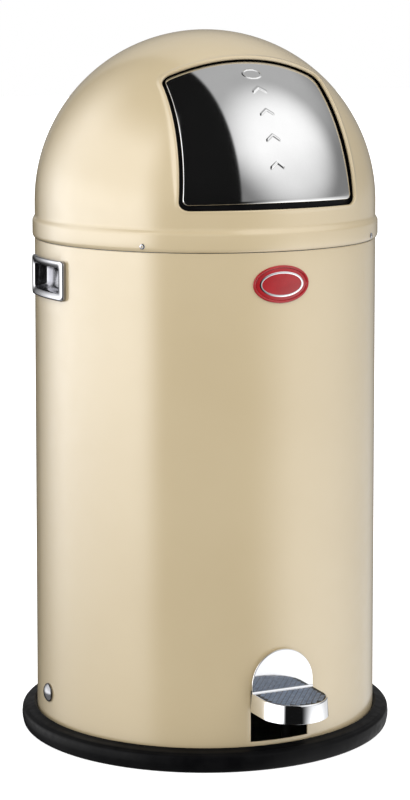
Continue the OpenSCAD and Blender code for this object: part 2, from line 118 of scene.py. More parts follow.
def piece(name, verts, faces, material, sharp=40, weld=False):
    """A smooth-shaded mesh object with edges over the sharp angle kept crisp."""
    mesh = bpy.data.meshes.new(name)
    mesh.from_pydata([tuple(v) for v in verts], [], faces)
    bm = bmesh.new()
    bm.from_mesh(mesh)
    if weld:
        bmesh.ops.remove_doubles(bm, verts=bm.verts, dist=2e-5)
        bmesh.ops.dissolve_degenerate(bm, edges=bm.edges, dist=1e-6)
    bmesh.ops.recalc_face_normals(bm, faces=bm.faces)
    bm.to_mesh(mesh)
    bm.free()
    mesh.shade_smooth()
    mesh.set_sharp_from_angle(angle=math.radians(sharp))
    mesh.materials.append(material)
    obj = bpy.data.objects.new(name, mesh)
    bpy.context.scene.collection.objects.link(obj)
    return obj


def bands(start, count, number):
    """Faces of closed bands of quads between rings of count points that follow each other."""
    faces = []
    for a in range(start, start + number * count, count):
        b = a + count
        for j in range(count):
            k = (j + 1) % count
            faces.append((a + j, a + k, b + k, b + j))
    return faces


def skin(rings, loop=False):
    """Vertices and faces of a surface through closed rings that have equal numbers of points.

    In a loop the last ring is joined to the first one. Otherwise both are capped."""
    count = len(rings[0])
    verts = [p for ring in rings for p in ring]
    last = len(verts) - count
    faces = bands(0, count, len(rings) - 1)
    if loop:
        faces += [(last + j, last + (j + 1) % count, (j + 1) % count, j) for j in range(count)]
    else:
        faces.append(tuple(reversed(range(count))))
        faces.append(tuple(range(last, len(verts))))
    return verts, faces


def grid(columns, rows, in_hole=None):
    """Faces of an open grid of points, without those whose column and row lie in its hole."""
    faces = []
    for row in range(rows - 1):
        for column in range(columns - 1):
            if in_hole and in_hole(column, row):
                continue
            a = row * columns + column
            faces.append((a, a + 1, a + columns + 1, a + columns))
    return faces


def join(*parts):
    """Several (vertices, faces) lists as one."""
    verts, faces = [], []
    for v, f in parts:
        shift = len(verts)
        verts += list(v)
        faces += [tuple(i + shift for i in face) for face in f]
    return verts, faces


def full_turn(steps):
    """Evenly spaced angles round a full turn."""
    return [2 * math.pi * i / steps for i in range(steps)]


def lathe(profile, steps):
    """Rings of a profile of (radius, height) turned about Z."""
    return [[Vector((r * math.cos(a), r * math.sin(a), z)) for a in full_turn(steps)]
            for r, z in profile]


def arc(cx, cy, r, a0, a1, n):
    """Points of an arc, with the angles in degrees."""
    steps = [math.radians(a0 + (a1 - a0) * i / n) for i in range(n + 1)]
    return [(cx + r * math.cos(a), cy + r * math.sin(a)) for a in steps]


def spread(stops, step):
    """The stops with evenly spaced values between them, no more than step apart."""
    values = []
    for a, b in zip(stops, stops[1:]):
        n = max(1, math.ceil((b - a) / step))
        values += [a + (b - a) * i / n for i in range(n)]
    return values + [stops[-1]]


def solidify(obj, thickness, bevel=0.0):
    """Gives a sheet its thickness inwards, and breaks its cut edges."""
    wall = obj.modifiers.new("sheet", "SOLIDIFY")
    wall.thickness = thickness
    wall.offset = -1
    wall.use_even_offset = True
    if bevel:
        edge = obj.modifiers.new("edge", "BEVEL")
        edge.width = bevel
        edge.segments = 2
        edge.limit_method = "ANGLE"
        edge.angle_limit = math.radians(50)


# ---------------------------------------------------------------- materials

def new_material(name, base, roughness, metallic=0.0, coat=0.0, coat_roughness=0.05, ior=1.5,
                 coat_ior=1.5):
    """A principled material with its constants set on the shader's own sockets."""
    material = bpy.data.materials.new(name)
    material.use_nodes = True
    shader = material.node_tree.nodes["Principled BSDF"]
    shader.inputs["Base Color"].default_value = (*base, 1)
    shader.inputs["Roughness"].default_value = roughness
    shader.inputs["Metallic"].default_value = metallic
    shader.inputs["Coat Weight"].default_value = coat
    shader.inputs["Coat Roughness"].default_value = coat_roughness
    shader.inputs["Coat IOR"].default_value = coat_ior
    shader.inputs["IOR"].default_value = ior
    return material


class Weave:
    """Adds procedural detail to a material, placed by object coordinates in metres."""

    def __init__(self, material):
        self.tree = material.node_tree
        self.shader = self.tree.nodes["Principled BSDF"]
        self.place = self.tree.nodes.new("ShaderNodeTexCoord").outputs["Object"]
        self.normal = None

    def stretched(self, scale):
        """The coordinates scaled by three factors."""
        mapping = self.tree.nodes.new("ShaderNodeMapping")
        mapping.inputs["Scale"].default_value = scale
        self.tree.links.new(self.place, mapping.inputs["Vector"])
        return mapping.outputs["Vector"]

    def noise(self, scale, detail, place=None):
        """Cloudy noise from 0 to 1, with scale clouds to the metre."""
        node = self.tree.nodes.new("ShaderNodeTexNoise")
        node.inputs["Scale"].default_value = scale
        node.inputs["Detail"].default_value = detail
        self.tree.links.new(place or self.place, node.inputs["Vector"])
        return node.outputs["Fac"]

    def cells(self, scale):
        """Crystal cells, each with one value of its own."""
        node = self.tree.nodes.new("ShaderNodeTexVoronoi")
        node.inputs["Scale"].default_value = scale
        self.tree.links.new(self.place, node.inputs["Vector"])
        return node.outputs["Color"]

    def ramp(self, value, low, high, stops=(0.35, 0.65)):
        """Spreads a 0..1 value over two colours or two numbers."""
        node = self.tree.nodes.new("ShaderNodeValToRGB")
        for element, at, end in zip(node.color_ramp.elements, stops, (low, high)):
            colour = end if isinstance(end, tuple) else (end, end, end)
            element.position = at
            element.color = (*colour, 1)
        self.tree.links.new(value, node.inputs["Fac"])
        return node.outputs["Color"]

    def colour(self, value):
        """Lets a node's output drive the base colour."""
        self.tree.links.new(value, self.shader.inputs["Base Color"])

    def roughness(self, value):
        """Lets a node's output drive the roughness."""
        self.tree.links.new(value, self.shader.inputs["Roughness"])

    def bump(self, value, depth, strength=1.0):
        """Adds one more layer of relief, depth in metres."""
        node = self.tree.nodes.new("ShaderNodeBump")
        node.inputs["Strength"].default_value = strength
        node.inputs["Distance"].default_value = depth
        self.tree.links.new(value, node.inputs["Height"])
        if self.normal is not None:
            self.tree.links.new(self.normal, node.inputs["Normal"])
        self.normal = node.outputs["Normal"]
        self.tree.links.new(self.normal, self.shader.inputs["Normal"])


def cream_paint():
    """Semi-gloss sand paint: slight mottling and orange peel under a clear top layer."""
    m = new_material("cream_paint", (0.655, 0.53, 0.325), 0.42, coat=1.0, coat_roughness=0.18,
                     coat_ior=1.85)
    w = Weave(m)
    w.colour(w.ramp(w.noise(7, 4), (0.645, 0.520, 0.316), (0.668, 0.543, 0.336)))
    w.roughness(w.ramp(w.noise(60, 3), 0.37, 0.47))
    w.bump(w.noise(650, 2), 0.00003, 0.4)
    w.bump(w.noise(90, 2), 0.00005, 0.25)
    return m


def black_plastic():
    """Moulded black plastic with a fine grain."""
    m = new_material("black_plastic", (0.004, 0.004, 0.0045), 0.36, ior=1.17)
    w = Weave(m)
    w.colour(w.ramp(w.noise(40, 4), (0.003, 0.003, 0.0035), (0.006, 0.006, 0.0065)))
    w.roughness(w.ramp(w.noise(120, 3), 0.30, 0.43))
    w.bump(w.noise(1800, 2), 0.00005, 0.35)
    return m


def rubber():
    """Soft black rubber."""
    m = new_material("rubber", (0.014, 0.014, 0.015), 0.6)
    w = Weave(m)
    w.colour(w.ramp(w.noise(70, 3), (0.011, 0.011, 0.012), (0.02, 0.02, 0.021)))
    w.bump(w.noise(1200, 2), 0.00006, 0.5)
    return m


def pad_rubber():
    """Blue-grey pedal rubber, a little shiny on its worn tops."""
    m = new_material("pad_rubber", (0.07, 0.10, 0.16), 0.38)
    w = Weave(m)
    w.colour(w.ramp(w.noise(260, 4), (0.075, 0.105, 0.165), (0.13, 0.175, 0.25)))
    w.roughness(w.ramp(w.noise(90, 3), 0.30, 0.48))
    w.bump(w.noise(1500, 2), 0.00008, 0.5)
    return m


def chrome():
    """Polished chrome plate with faint smudges."""
    m = new_material("chrome", (0.86, 0.87, 0.89), 0.05, metallic=1.0)
    w = Weave(m)
    w.colour(w.ramp(w.noise(14, 3), (0.84, 0.85, 0.87), (0.89, 0.90, 0.92)))
    w.roughness(w.ramp(w.noise(45, 4), 0.03, 0.085))
    w.bump(w.noise(30, 2), 0.00008, 0.10)
    return m


def satin_chrome(name, tone):
    """Duller plated zinc of the small castings, slightly blue, its tone clouded by 8 percent."""
    dark, even, light = [(t, t, t * 1.05) for t in (tone * 0.92, tone, tone * 1.08)]
    m = new_material(name, even, 0.16, metallic=1.0)
    w = Weave(m)
    w.colour(w.ramp(w.noise(30, 3), dark, light))
    w.roughness(w.ramp(w.noise(90, 4), 0.12, 0.21))
    w.bump(w.noise(700, 2), 0.00002, 0.3)
    return m


def stainless():
    """Polished stainless sheet with a trace of its grain."""
    m = new_material("stainless", (0.80, 0.80, 0.80), 0.06, metallic=1.0)
    w = Weave(m)
    grain = w.noise(60, 3, place=w.stretched((4, 60, 60)))
    w.colour(w.ramp(w.noise(20, 3), (0.78, 0.78, 0.78), (0.83, 0.83, 0.83)))
    w.roughness(w.ramp(grain, 0.045, 0.085))
    w.bump(grain, 0.000004, 0.2)
    return m


def zinc_steel():
    """Zinc-plated steel with a cloudy finish."""
    m = new_material("zinc_steel", (0.55, 0.56, 0.57), 0.38, metallic=1.0)
    w = Weave(m)
    w.colour(w.ramp(w.noise(45, 5), (0.48, 0.49, 0.51), (0.62, 0.62, 0.60)))
    w.roughness(w.ramp(w.noise(80, 4), 0.30, 0.50))
    w.bump(w.noise(900, 2), 0.00003, 0.4)
    return m


def galvanised():
    """Hot-dip galvanised sheet: grey crystals of different brightness."""
    m = new_material("galvanised", (0.52, 0.54, 0.55), 0.42, metallic=1.0)
    w = Weave(m)
    spangle = w.cells(95)
    wide = (0.1, 0.9)
    w.colour(w.ramp(spangle, (0.40, 0.42, 0.44), (0.66, 0.68, 0.69), wide))
    w.roughness(w.ramp(spangle, 0.34, 0.55, wide))
    w.bump(w.noise(300, 3), 0.00005, 0.4)
    return m


def red_enamel():
    """Vitreous red enamel, deep and glossy."""
    m = new_material("red_enamel", (0.40, 0.010, 0.016), 0.25, coat=0.35, coat_roughness=0.05)
    w = Weave(m)
    w.colour(w.ramp(w.noise(60, 3), (0.36, 0.009, 0.014), (0.43, 0.012, 0.018)))
    w.bump(w.noise(120, 2), 0.00005, 0.3)
    return m


def nylon():
    """Natural nylon."""
    m = new_material("nylon", (0.72, 0.70, 0.62), 0.45)
    w = Weave(m)
    w.colour(w.ramp(w.noise(80, 3), (0.68, 0.66, 0.58), (0.76, 0.74, 0.66)))
    w.bump(w.noise(900, 2), 0.00004, 0.4)
    return m


MATERIALS = {
    "cream_paint": cream_paint(),
    "black_plastic": black_plastic(),
    "rubber": rubber(),
    "pedal_rubber": pad_rubber(),
    "chrome": chrome(),
    "satin_chrome": satin_chrome("satin_chrome", 0.47),
    # Painted shade: the axle caps get the satin chrome at half its tone, darkened to stand for less
    # light mirrored off them
    "cap_chrome_painted_shade": satin_chrome("cap_chrome_painted_shade", 0.24),
    "stainless": stainless(),
    "zinc_steel": zinc_steel(),
    "galvanised": galvanised(),
    "red_enamel": red_enamel(),
    "nylon": nylon(),
}


def dress_cad_nodes():
    """Every CAD node gets the procedural material of its slot."""
    slots = {row["node"]: row["material_slot"] for row in frame["record"]["subparts"]}
    for name, obj in NODES.items():
        obj.data.materials.clear()
        obj.data.materials.append(MATERIALS[slots[name]])


# ---------------------------------------------------------------- plinth and body

def make_plinth():
    """Moulded foot ring: a flat outer band, a rounded shoulder with a small step, and a groove."""
    r, h, wall, eye = PLINTH_R, PLINTH_H, BODY_R + 0.4 * MM, 1 * MM
    profile = [(eye, 0.0), (r - 9 * MM, 0.0), (r - 5.2 * MM, 0.0)]
    profile += arc(r - 5.2 * MM, 4.2 * MM, 4.2 * MM, -90, -12, 6)
    profile += [(r - 0.15 * MM, 8 * MM), (r, 11 * MM), (r - 0.3 * MM, 14 * MM)]
    profile += arc(r - 4.5 * MM, 15 * MM, 4.1 * MM, 6, 62, 6)
    profile += [(r - 3.6 * MM, 19.0 * MM), (r - 4.4 * MM, 19.9 * MM), (r - 5.0 * MM, 20.2 * MM)]
    profile += [(r - 8 * MM, 20.9 * MM), (wall + 4.6 * MM, h - 0.9 * MM)]
    profile += [(wall + 3.6 * MM, h - 0.2 * MM), (wall + 2.7 * MM, h)]
    profile += [(wall + 2.0 * MM, h - 0.5 * MM), (wall + 1.6 * MM, h - 2.4 * MM)]
    profile += [(wall + 0.2 * MM, h - 2.6 * MM), (wall, 2.5 * MM), (eye, 2.5 * MM)]
    verts, faces = skin(lathe(profile, 256))
    obj = piece("plinth_ring", verts, faces, MATERIALS["black_plastic"], 30)
    ride(obj, "root", "black_plastic", "plinth")


def make_body_tube():
    """Body tube as one sheet with its pedal slot and handle cut-outs."""
    slot_w, slot_low, slot_high = 65.6 * MM, 26.3 * MM, 80 * MM
    hole_w, hole_h = 69 * MM, 29 * MM
    foot, step_angle, step_height = 2.6 * MM, 1.8, 24 * MM
    slot_a = math.degrees(math.asin(slot_w / 2 / BODY_R))
    hole_a = math.degrees(math.asin(hole_w / 2 / BODY_R))
    angles = spread([-90 - slot_a, -90 + slot_a, -hole_a, hole_a, 180 - hole_a, 180 + hole_a,
                     270 - slot_a], step_angle)
    heights = spread([foot, slot_low, slot_high, HANDLE_Z - hole_h / 2, HANDLE_Z + hole_h / 2,
                      BODY_TOP - 1.2 * MM], step_height)
    rows = [(z, BODY_R) for z in heights]
    rows += [(BODY_TOP - 0.25 * MM, BODY_R - 0.05 * MM), (BODY_TOP, BODY_R - 0.25 * MM)]
    columns = angles[:-1]

    def open_here(angle, z):
        front = abs(angle + 90) < slot_a and slot_low < z < slot_high
        side = min(abs(angle), abs(angle - 180)) < hole_a
        return front or (side and abs(z - HANDLE_Z) < hole_h / 2)

    verts = [Vector((r * math.cos(math.radians(a)), r * math.sin(math.radians(a)), z))
             for z, r in rows for a in columns]
    faces = []
    for i in range(len(rows) - 1):
        for j in range(len(columns)):
            angle, z = (angles[j] + angles[j + 1]) / 2, (rows[i][0] + rows[i + 1][0]) / 2
            if not open_here(angle, z):
                k = (j + 1) % len(columns)
                a, b = i * len(columns), (i + 1) * len(columns)
                faces.append((a + j, a + k, b + k, b + j))
    obj = piece("body_tube", verts, faces, MATERIALS["cream_paint"], 40)
    solidify(obj, thickness=1.5 * MM, bevel=0.3 * MM)
    ride(obj, "root", "cream_paint", "body_shell")


# ---------------------------------------------------------------- hood

def on_dome(t, turn, r):
    """A point at angle t about the X axis, up from the front horizontal, and turn sideways."""
    s, c = math.sin(math.radians(turn)), math.cos(math.radians(turn))
    if t < 0:
        return Vector((r * s, -r * c, DOME_Z + BODY_R * math.radians(t)))
    if t > 180:
        return Vector((r * s, r * c, DOME_Z - BODY_R * math.radians(t - 180)))
    a = math.radians(t)
    return Vector((r * s, -r * c * math.cos(a), DOME_Z + r * c * math.sin(a)))


def rounded_outline(half_a, half_b, radius, side_a, side_b):
    """Points round a rounded rectangle in two directions, matched to a grid's border.

    They start at the lower left corner and run to the right. side_a and side_b are the numbers
    of steps along the sides, and each corner of the grid meets the middle of a corner arc."""

    def side(length, steps):
        half_corner = radius * math.pi / 4
        straight = length - 2 * radius
        total = 2 * half_corner + straight
        marks = []
        for i in range(steps):
            s = total * i / steps
            if s < half_corner:
                turn = math.radians(45) - s / radius
                marks.append((radius - radius * math.sin(turn), radius - radius * math.cos(turn)))
            elif s < half_corner + straight:
                marks.append((radius + s - half_corner, 0.0))
            else:
                turn = (s - half_corner - straight) / radius
                marks.append((length - radius + radius * math.sin(turn),
                              radius - radius * math.cos(turn)))
        return marks

    points = []
    for along, across in side(2 * half_a, side_a):
        points.append((-half_a + along, -half_b + across))
    for along, across in side(2 * half_b, side_b):
        points.append((half_a - across, -half_b + along))
    for along, across in side(2 * half_a, side_a):
        points.append((half_a - along, half_b - across))
    for along, across in side(2 * half_b, side_b):
        points.append((-half_a + across, half_b - along))
    return points


def side_turn(t, r):
    """How far the aperture's side is turned sideways at angle t on a sphere."""
    lean = APERTURE_TAPER * math.sin(math.radians(t))
    return math.degrees(math.asin(APERTURE_W / r / math.hypot(1, lean)) - math.atan(lean))


def patch_outline(low, high, inset, corner, r, side_a, side_b):
    """The aperture's outline with its sides moved in by inset, as (t, turn) in degrees."""
    per = math.degrees(1 / r)
    mid = (low + high) / 2
    mid_turn = side_turn(mid, r) - inset * per
    half_a, half_b = math.radians(mid_turn) * r, math.radians((high - low) / 2) * r
    points = []
    for a, b in rounded_outline(half_a, half_b, corner, side_a, side_b):
        t = mid + b * per
        points.append((t, a * per * (side_turn(t, r) - inset * per) / mid_turn))
    return points


def smooth(x):
    """Runs smoothly from 0 to 1 as x does, and stays level outside."""
    x = min(1.0, max(0.0, x))
    return x * x * (3 - 2 * x)


def make_dome():
    """Hood as one sheet: skirt band, joggle, dome, and the turned-out lip of the aperture.

    The grid leaves out a frame round the aperture, and rings run from its border to the lip."""
    frame_turn, frame_low, frame_high = 41.0, -3.1, 71.0
    skirt_t, step = -4.75, 1.6
    turns = spread([-90, -frame_turn, frame_turn, 90], step)
    ts = spread([skirt_t, frame_low, 0, frame_high, 180, 180 - frame_low, 180 - skirt_t], step)
    i0, i1 = turns.index(-frame_turn), turns.index(frame_turn)
    j0, j1 = ts.index(frame_low), ts.index(frame_high)
    skirt = [(BODY_R + 0.7 * MM, DOME_Z - 16.2 * MM), (SKIRT_R - 0.7 * MM, DOME_Z - 18.0 * MM)]
    skirt += [(SKIRT_R - 0.1 * MM, DOME_Z - 19.4 * MM), (SKIRT_R, DOME_Z - 21 * MM)]
    skirt += [(SKIRT_R, DOME_Z - 27 * MM), (SKIRT_R, SKIRT_Z + 4.2 * MM)]
    skirt += [(SKIRT_R - 0.25 * MM, SKIRT_Z + 2.4 * MM), (SKIRT_R - 0.9 * MM, SKIRT_Z + 1.0 * MM)]
    skirt += [(SKIRT_R - 1.7 * MM, SKIRT_Z + 0.15 * MM), (SKIRT_R - 2.2 * MM, SKIRT_Z)]
    skirt += [(BODY_R - 0.2 * MM, SKIRT_Z + 0.05 * MM)]

    def band(side, r, z):
        angles = [math.radians(turn) for turn in turns]
        return [Vector((r * math.sin(a), side * r * math.cos(a), z)) for a in angles]

    def in_frame(column, row):
        return i0 <= column < i1 and j0 <= row - len(skirt) < j1

    rows = [band(-1, r, z) for r, z in reversed(skirt)]
    rows += [[on_dome(t, turn, BODY_R) for turn in turns] for t in ts]
    rows += [band(1, r, z) for r, z in skirt]
    verts = [v for row in rows for v in row]
    faces = grid(len(turns), len(rows), in_frame)

    side_a, side_b = i1 - i0, j1 - j0
    border = [(ts[j0], turns[i]) for i in range(i0, i1)]
    border += [(ts[j], turns[i1]) for j in range(j0, j1)]
    border += [(ts[j1], turns[i]) for i in range(i1, i0, -1)]
    border += [(ts[j], turns[i0]) for j in range(j1, j0, -1)]

    def outline(inset):
        lift = math.degrees(inset / BODY_R)
        return patch_outline(APERTURE_LOW + lift, APERTURE_HIGH - lift, inset,
                             APERTURE_CORNER - inset, BODY_R, side_a, side_b)

    edge = outline(-1.3 * MM)
    lips = [lip_size(t) for t, turn in edge]
    rings = [[on_dome(t, a, BODY_R) for t, a in border]]
    shares = [0.15, 0.3, 0.43, 0.54, 0.63, 0.7, 0.76, 0.81, 0.85, 0.885, 0.915, 0.94, 0.96, 0.98]
    for share in [*shares, 1.0]:
        ring = []
        for (t0, a0), (t1, a1), (height, width) in zip(border, edge, lips):
            t, a = t0 + (t1 - t0) * share, a0 + (a1 - a0) * share
            gap = (on_dome(t, a, BODY_R) - on_dome(t1, a1, BODY_R)).length
            rise = height * smooth(1 - gap / width) ** 1.3
            ring.append(on_dome(t, a, BODY_R + rise))
        rings.append(ring)
    for inset, drop in ((-0.8, 0.15), (-0.35, 0.5), (-0.05, 1.1), (0, 2.0), (0, 3.4)):
        rings.append([on_dome(t, a, BODY_R + height - drop * MM)
                      for (t, a), (height, width) in zip(outline(inset * MM), lips)])
    faces += bands(len(verts), len(border), len(rings) - 1)
    verts += [v for ring in rings for v in ring]
    obj = piece("hood_dome", verts, faces, MATERIALS["cream_paint"], 60, weld=True)
    solidify(obj, thickness=1.2 * MM)
    ride(obj, "lid", "cream_paint", "dome")


def lip_size(t):
    """Height and width of the turned-out lip: almost nothing at the bottom, full at the sides."""
    full = smooth((t - APERTURE_LOW - 1) / 14)
    return (0.3 + 0.9 * full) * MM, (4 + 3 * full) * MM


def emboss(x, q):
    """Height of the flap's plain relief at x sideways and q up: a ring above four arrowheads."""
    depth, soft = 0.7 * MM, 1 * MM
    ring_q, ring_r, ring_wide, half_line = 63 * MM, 10 * MM, 1.5, 0.8 * MM
    arrow_half, arrow_tip, arrow_line = 7.5 * MM, 5 * MM, 1.1 * MM
    arrow_slope, arrow_length = 0.8, 1.28
    strokes = [abs(math.hypot(x, (q - ring_q) * ring_wide) - ring_r) - half_line]
    for arrow_q in (38 * MM, 9 * MM, -20 * MM, -49 * MM):
        rise = q - arrow_q + abs(x) * arrow_slope
        strokes.append(max(abs(rise - arrow_tip) / arrow_length - arrow_line, abs(x) - arrow_half))
    return depth * max(smooth(0.5 - d / soft) for d in strokes)


def make_flap():
    """Polished flap: a spherical sheet with rolled edges and a plain embossed motif.

    A fine grid carries the relief, and rings run from its border to the edge and round it."""
    low, high, inset, corner = APERTURE_LOW + 1.75, APERTURE_HIGH + 0.4, 4.6 * MM, 8 * MM
    base, roll = FLAP_R - 0.7 * MM, 2.2 * MM
    margin, even, step = 4.4, 5, 0.23
    inner_turn = side_turn(high, FLAP_R) - margin
    turns = spread([-inner_turn, -even, even, inner_turn], step)
    ts = spread([low + margin, high - margin], step)
    mid = (low + high) / 2

    def column_turn(t, turn):
        """Where a column lies at angle t: fixed in the middle, and widening towards the sides."""
        if abs(turn) <= even:
            return turn
        widest = side_turn(t, FLAP_R) - margin
        share = (abs(turn) - even) / (inner_turn - even)
        return math.copysign(even + share * (widest - even), turn)

    def point(t, turn):
        relief = emboss(FLAP_R * math.sin(math.radians(turn)), FLAP_R * math.radians(t - mid))
        return on_dome(t, turn, base + relief)

    def outline(further):
        lift = math.degrees(further / FLAP_R)
        return patch_outline(low + lift, high - lift, inset + further, corner - further, FLAP_R,
                             len(turns) - 1, len(ts) - 1)

    rows = [[point(t, column_turn(t, turn)) for turn in turns] for t in ts]
    verts = [v for row in rows for v in row]
    faces = grid(len(turns), len(rows))
    border = rows[0][:-1] + [row[-1] for row in rows[:-1]]
    border += rows[-1][:0:-1] + [row[0] for row in rows[:0:-1]]

    edge = [on_dome(t, turn, base) for t, turn in outline(roll)]
    rings = [border]
    centre = Vector((0, 0, DOME_Z))
    for share in (0.25, 0.5, 0.75, 1.0):
        mixed = [p.lerp(q, share) - centre for p, q in zip(border, edge)]
        rings.append([v.normalized() * base + centre for v in mixed])
    for a in [math.radians(angle) for angle in (15, 30, 45, 60, 75, 90)]:
        rings.append([on_dome(t, turn, base - roll + roll * math.cos(a))
                      for t, turn in outline(roll - roll * math.sin(a))])
    faces += bands(len(verts), len(border), len(rings) - 1)
    verts += [v for ring in rings for v in ring]
    obj = piece("flap_steel", verts, faces, MATERIALS["stainless"], 50, weld=True)
    solidify(obj, thickness=0.8 * MM)
    ride(obj, "flap", "stainless", "flap_panel")


def make_screws():
    """Pan-head screws round the skirt band, each with a recess in its head."""
    profile = [(1.5, -2.4), (1.5, 0.05), (3.0, 0.05), (3.0, 0.35), (2.8, 0.75), (2.3, 1.1)]
    profile += [(1.65, 1.28), (1.35, 1.26), (1.25, 1.1), (1.2, -1.6)]
    up = Vector((0, 0, 1))
    parts = []
    for a in [math.radians(angle) for angle in (45, 135, 225, 315)]:
        out, side = Vector((math.cos(a), math.sin(a), 0)), Vector((-math.sin(a), math.cos(a), 0))
        rings = []
        for r, h in profile:
            at = out * (SKIRT_R + h * MM) + up * SCREW_Z
            rings.append([at + (side * math.cos(b) + up * math.sin(b)) * r * MM
                          for b in full_turn(32)])
        parts.append(skin(rings))
    verts, faces = join(*parts)
    obj = piece("skirt_screws", verts, faces, MATERIALS["satin_chrome"], 40)
    ride(obj, "lid", "stainless", "lid_screws")


# ---------------------------------------------------------------- badge, handles, caps

def on_tube(azimuth, u, w, h, z):
    """A point u sideways and w up from a place on the tube, h out from its surface."""
    a = math.radians(azimuth) + u / BODY_R
    r = BODY_R + h
    return Vector((r * math.cos(a), r * math.sin(a), z + w))


def oval_ring(half_a, half_b, h):
    """An oval round the badge's middle, h out from the tube, with all three in millimetres."""
    return [on_tube(-90, half_a * MM * math.cos(a), half_b * MM * math.sin(a), h * MM, BADGE_Z)
            for a in full_turn(96)]


def make_badge():
    """Plain oval badge: raised red rim, red enamel field and one bright line."""
    rim = [(31.4, 19.3, 0.1), (31.4, 19.3, 1.1), (31.1, 19.0, 1.7), (30.5, 18.4, 2.1),
           (29.9, 17.8, 2.15), (29.3, 17.2, 1.9), (28.8, 16.7, 1.4), (28.5, 16.4, 0.1)]
    verts, faces = skin([oval_ring(*r) for r in rim], loop=True)
    ring = piece("badge_rim_ring", verts, faces, MATERIALS["red_enamel"], 50)
    ride(ring, "root", "red_enamel", "badge_rim")
    field = [(28.45, 16.35, 0.1), (28.45, 16.35, 0.8), (27.8, 15.7, 1.0), (25, 13.6, 1.2)]
    field += [(18, 9.6, 1.42), (10, 5.2, 1.5), (3, 1.6, 1.5)]
    verts, faces = skin([oval_ring(*r) for r in field])
    enamel = piece("badge_enamel", verts, faces, MATERIALS["red_enamel"], 50)
    ride(enamel, "root", "red_enamel", "badge")
    inlay = [(24.6, 12.9, 1.0), (24.6, 12.9, 1.4), (24.0, 12.4, 1.55), (22.8, 11.4, 1.58)]
    inlay += [(22.2, 10.9, 1.5), (22.2, 10.9, 1.0)]
    verts, faces = skin([oval_ring(*r) for r in inlay], loop=True)
    bright = piece("badge_line", verts, faces, MATERIALS["chrome"], 50)
    ride(bright, "root", "chrome")


def make_handle(name, azimuth, node):
    """Side handle: a bevelled bright frame round a recessed cup with a curved back."""
    steps_u, steps_w = 28, 16
    outside = [(20, 6, 4, -13.6), (30, 11, 5, -12.4), (33.6, 13.6, 5, -9.0), (34, 14, 4, 0.1)]
    frame_edge = [(42.5, 21, 4.0, 0.1), (42.5, 21, 4.0, 3.6), (42.1, 20.6, 3.8, 4.4)]
    frame_face = [(41.3, 19.8, 3.4, 4.9), (40.2, 18.7, 3.0, 5.0), (37.4, 16.6, 3.0, 4.7)]
    mouth = [(34.6, 14.6, 3.0, 4.1), (33.6, 13.6, 3.0, 3.4), (33.1, 13.1, 3.0, 2.2)]
    cup = [(32.8, 12.8, 3.0, -1), (32.5, 12.6, 3.4, -6), (31, 11.6, 4.0, -9.4)]
    cup += [(28, 9.6, 4.4, -11.2), (22, 6.4, 4.0, -12.4)]
    rings = []
    for half_u, half_w, corner, h in outside + frame_edge + frame_face + mouth + cup:
        outline = rounded_outline(half_u * MM, half_w * MM, corner * MM, steps_u, steps_w)
        rings.append([on_tube(azimuth, u, w, h * MM, HANDLE_Z) for u, w in outline])
    verts, faces = skin(rings)
    obj = piece(name, verts, faces, MATERIALS["satin_chrome"], 32)
    ride(obj, "root", "chrome", node)


def make_axle_cap(name, side, node):
    """Domed push-on cap over the end of the axle."""
    profile = [(4.1, 2.4), (9.0, 0.1), (9.9, 0.3), (10, 0.9), (9.8, 1.6), (9.2, 2.3), (8.0, 3.2)]
    profile += [(6.4, 4.1), (4.6, 4.75), (2.6, 5.15), (0.8, 5.3)]
    rings = []
    for r, h in profile:
        x = side * (BODY_R + h * MM)
        rings.append([Vector((x, r * MM * math.cos(a), AXLE_Z + r * MM * math.sin(a)))
                      for a in full_turn(64)])
    verts, faces = skin(rings)
    # Painted shade: the cap's material is a darkened copy of the satin chrome
    obj = piece(name, verts, faces, MATERIALS["cap_chrome_painted_shade"], 50)
    ride(obj, "root", "chrome", node)


# ---------------------------------------------------------------- pedal

def straight(start, end, steps):
    """Evenly spaced points from start, without the end."""
    return [Vector(start).lerp(Vector(end), i / steps) for i in range(steps)]


def half_turn(steps):
    """Evenly spaced angles over half a turn, without the end."""
    return [math.pi * i / steps for i in range(steps)]


def pedal_ring(inset, z, back_inset=None):
    """The pedal's outline, straight at the sides and round at the front, moved in by inset."""
    r = PEDAL_W - inset
    centre = PEDAL_FRONT + PEDAL_W
    back = PEDAL_BACK - (inset if back_inset is None else back_inset)
    points = straight((-r, back, z), (r, back, z), 16)
    points += straight((r, back, z), (r, centre, z), 8)
    points += [Vector((r * math.cos(a), centre - r * math.sin(a), z)) for a in half_turn(64)]
    points += straight((-r, centre, z), (-r, back, z), 8)
    return points


def plate_ring(inset, y):
    """The upright plate's outline, straight below and round above, moved in by inset."""
    r = PLATE_HALF - inset
    foot, mid = PLATE_FOOT + inset, PEDAL_TOP - PLATE_HALF
    points = straight((-r, y, foot), (r, y, foot), 12)
    points += straight((r, y, foot), (r, y, mid), 6)
    points += [Vector((r * math.cos(a), y, mid + r * math.sin(a))) for a in half_turn(56)]
    points += straight((-r, y, mid), (-r, y, foot), 6)
    return points


